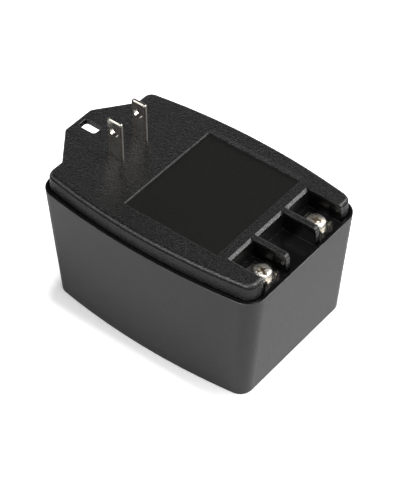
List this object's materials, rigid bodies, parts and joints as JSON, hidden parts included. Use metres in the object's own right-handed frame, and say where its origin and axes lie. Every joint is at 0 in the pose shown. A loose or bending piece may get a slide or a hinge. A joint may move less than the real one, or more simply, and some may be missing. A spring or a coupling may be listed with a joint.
{
  "type": "plug in ac transformer",
  "caption": "Direct plug in step-down AC transformer: a black tapered case that plugs into a wall outlet by its two blades, with low-voltage screw terminals.",
  "frame": {"origin": "middle of the case's flat back, the face that points into the room when it is plugged in", "axes": "+Z out of the cover along the plug blades, +X towards the screw terminals, away from the ear"},
  "size_m": [0.101, 0.0668, 0.0708],
  "materials": {
    "case_plastic": "fine spark-eroded texture, charcoal",
    "cover_plastic": "fine spark-eroded texture, black, smooth in the recess",
    "blade_metal": "nickel plated, satin",
    "fibre_board": "grey vulcanised fibre",
    "terminal_metal": "nickel plated",
    "screw_metal": "nickel plated, bright",
    "core_steel": "silicon steel laminations, varnished",
    "weld_metal": "weld bead",
    "bobbin_nylon": "natural glass-filled nylon",
    "pin_metal": "tinned",
    "magnet_wire": "enamelled copper",
    "winding_tape": "polyester tape",
    "cutoff_metal": "bright can",
    "sleeve_braid": "varnished glass-fibre sleeve",
    "primary_insulation": "black PVC insulation",
    "secondary_insulation": "yellow PVC insulation"
  },
  "bodies": {
    "root": {"case_shell": "case_plastic", "cover": "cover_plastic", "blade_left": "blade_metal", "blade_right": "blade_metal", "blade_retainer": "fibre_board", "terminal_plate_left": "terminal_metal", "terminal_plate_right": "terminal_metal", "terminal_screw_left": "screw_metal", "terminal_screw_right": "screw_metal", "e_core": "core_steel", "i_core": "core_steel", "core_welds": "weld_metal", "bobbin": "bobbin_nylon", "bobbin_pins": "pin_metal", "primary_winding": "magnet_wire", "secondary_winding": "magnet_wire", "primary_tape": "winding_tape", "secondary_tape": "winding_tape", "thermal_cutoff": "cutoff_metal", "cutoff_sleeve": "sleeve_braid", "primary_lead_left": "primary_insulation", "primary_lead_right": "primary_insulation", "cutoff_lead": "pin_metal", "secondary_lead_left": "secondary_insulation", "secondary_lead_right": "secondary_insulation"}
  },
  "joints": []
}
